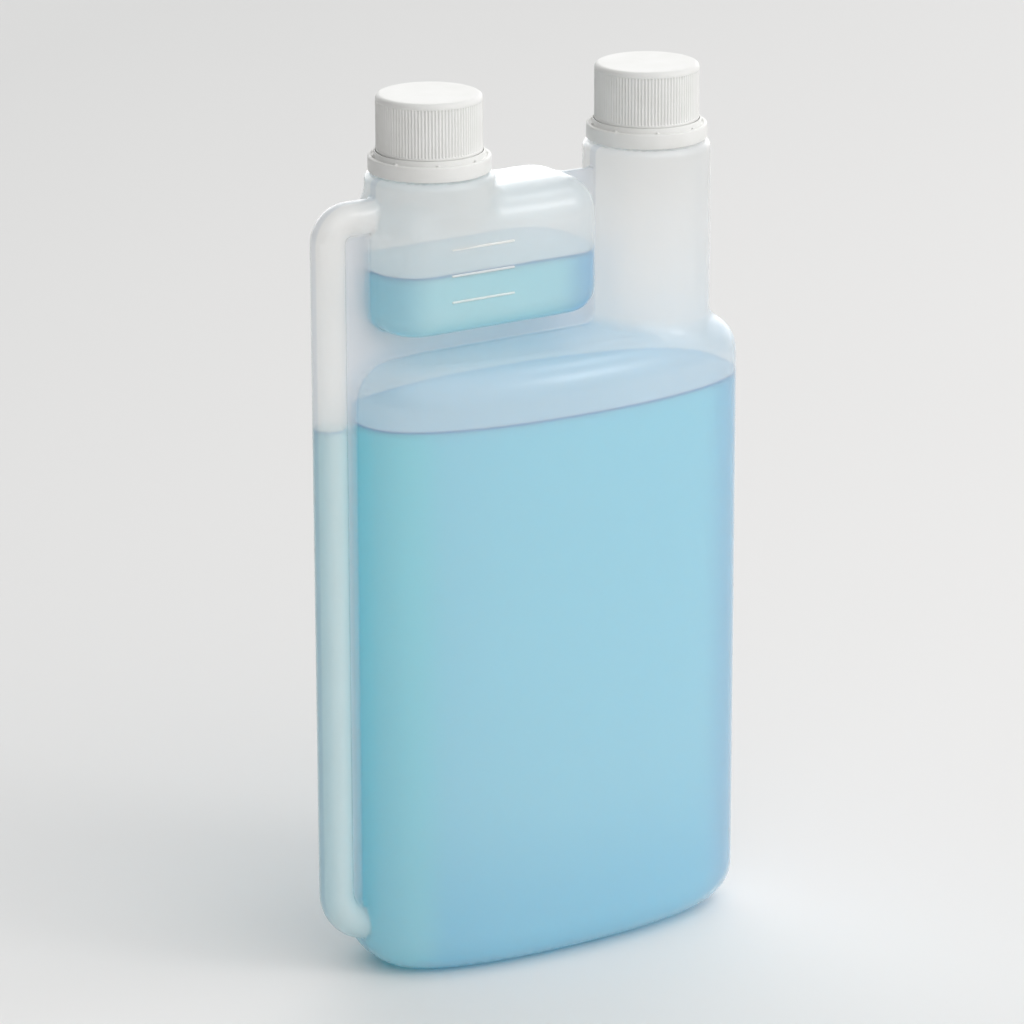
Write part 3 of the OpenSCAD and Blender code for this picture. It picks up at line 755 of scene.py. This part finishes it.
def floorMaterial():
    # matt studio paper: pale grey with a faint unevenness, and painted light falloff: paler toward the front and
    # right, darker toward the back and left
    material, tree = newMaterial("studio_paper_matt")
    place = addNode(tree, "ShaderNodeTexCoord").outputs["Object"]
    cloud = addNode(tree, "ShaderNodeTexNoise", values={"Scale": 1.5, "Detail": 2.0}, links={"Vector": place})
    # painted light: the paper is coloured paler toward the front and right and darker toward the back left, as
    # the light falls off
    across = addNode(tree, "ShaderNodeVectorMath", {"operation": "DOT_PRODUCT"}, {1: studio["floorPaintedLightWay"]},
                     {0: place})
    share = addNode(tree, "ShaderNodeMapRange",
                    values={"From Min": studio["floorDim"], "From Max": studio["floorBright"]},
                    links={"Value": across.outputs["Value"]})
    share = addNode(tree, "ShaderNodeMath", {"operation": "MULTIPLY_ADD"}, {1: 0.15},
                    {0: cloud.outputs["Fac"], 2: share.outputs["Result"]})
    tint = addNode(tree, "ShaderNodeValToRGB", links={"Fac": share.outputs["Value"]})
    tint.color_ramp.elements[0].color = linearColour("d7d7d6")
    tint.color_ramp.elements[1].color = linearColour("edeceb")
    paper = addNode(tree, "ShaderNodeBsdfPrincipled", values={"Roughness": 0.75},
                    links={"Base Color": tint.outputs["Color"]})
    addNode(tree, "ShaderNodeOutputMaterial", links={"Surface": paper.outputs["BSDF"]})
    return material


s = studio["floorHalf"]
floorMesh = bpy.data.meshes.new("studio_floor")
floorMesh.from_pydata([(-s, -s, 0), (s, -s, 0), (s, s, 0), (-s, s, 0)], [], [(0, 1, 2, 3)])
floorMesh.materials.append(floorMaterial())
floor = bpy.data.objects.new("studio_floor", floorMesh)
bpy.context.scene.collection.objects.link(floor)

world = bpy.data.worlds.new("soft_studio_sky")
bpy.context.scene.world = world
world.use_nodes = True
view = {
    "target": (-3.757, 0.0, 131.662), "azimuth": -32.292, "elevation": 17.552, "roll": -0.153,
    "distance": 1486.888, "focalPixels": 5102.017, "imagePixels": 1024, "sensor": 36.0,
}
azimuth, elevation, roll = (math.radians(view[k]) for k in ("azimuth", "elevation", "roll"))
back = Vector((math.sin(azimuth) * math.cos(elevation), -math.cos(azimuth) * math.cos(elevation),
               math.sin(elevation)))
levelRight = Vector((math.cos(azimuth), math.sin(azimuth), 0))
levelUp = back.cross(levelRight)
right = levelRight * math.cos(roll) + levelUp * math.sin(roll)
up = levelUp * math.cos(roll) - levelRight * math.sin(roll)
cameraPlace = (Vector(view["target"]) + back * view["distance"]) * metre
camera = bpy.data.cameras.new("photo_camera")
camera.sensor_width = view["sensor"]
camera.lens = view["focalPixels"] * view["sensor"] / view["imagePixels"]
camera.clip_start, camera.clip_end = 0.05, 50.0
cameraObject = bpy.data.objects.new("photo_camera", camera)
cameraObject.matrix_world = Matrix.Translation(cameraPlace) @ Matrix((right, up, back)).transposed().to_4x4()
bpy.context.scene.collection.objects.link(cameraObject)
bpy.context.scene.camera = cameraObject


# one wide soft light high on the right, a pale wall behind and two small lamps far away, in a dim
# room; each adds its strength times a smooth step of (direction . way) from its edge to its full value
front = levelRight.cross(Vector((0, 0, 1)))


def wayTo(azimuthFromView, elevationUp):
    turned, rise = math.radians(azimuthFromView), math.radians(elevationUp)
    level = levelRight * math.sin(turned) + front * math.cos(turned)
    return level * math.cos(rise) + Vector((0, 0, math.sin(rise)))


sky = world.node_tree
wayOut = addNode(sky, "ShaderNodeTexCoord").outputs["Generated"]
strength = None
for azimuthFromView, elevationUp, edge, full, low, high in (
        (studio["boxAzimuth"], studio["boxElevation"], studio["boxEdge"], 1.0, studio["roomStrength"],
         studio["boxStrength"]),
        (studio["wallAzimuth"], studio["wallElevation"], studio["wallEdge"], studio["wallFull"], 0.0,
         studio["wallStrength"]),
        studio["sideLamp"], studio["topLamp"]):
    toward = addNode(sky, "ShaderNodeVectorMath", {"operation": "DOT_PRODUCT"},
                     {1: tuple(wayTo(azimuthFromView, elevationUp))}, {0: wayOut})
    glowing = addNode(sky, "ShaderNodeMapRange", {"interpolation_type": "SMOOTHSTEP"},
                      {"From Min": edge, "From Max": full, "To Min": low, "To Max": high},
                      {"Value": toward.outputs["Value"]}).outputs["Result"]
    strength = glowing if strength is None else addNode(
        sky, "ShaderNodeMath", {"operation": "ADD"}, links={0: strength, 1: glowing}).outputs["Value"]
sky.links.new(strength, sky.nodes["Background"].inputs["Strength"])
sky.nodes["Background"].inputs["Color"].default_value = linearColour("ffffff")
bpy.context.scene.view_settings.view_transform = "Standard"
print("studio done")
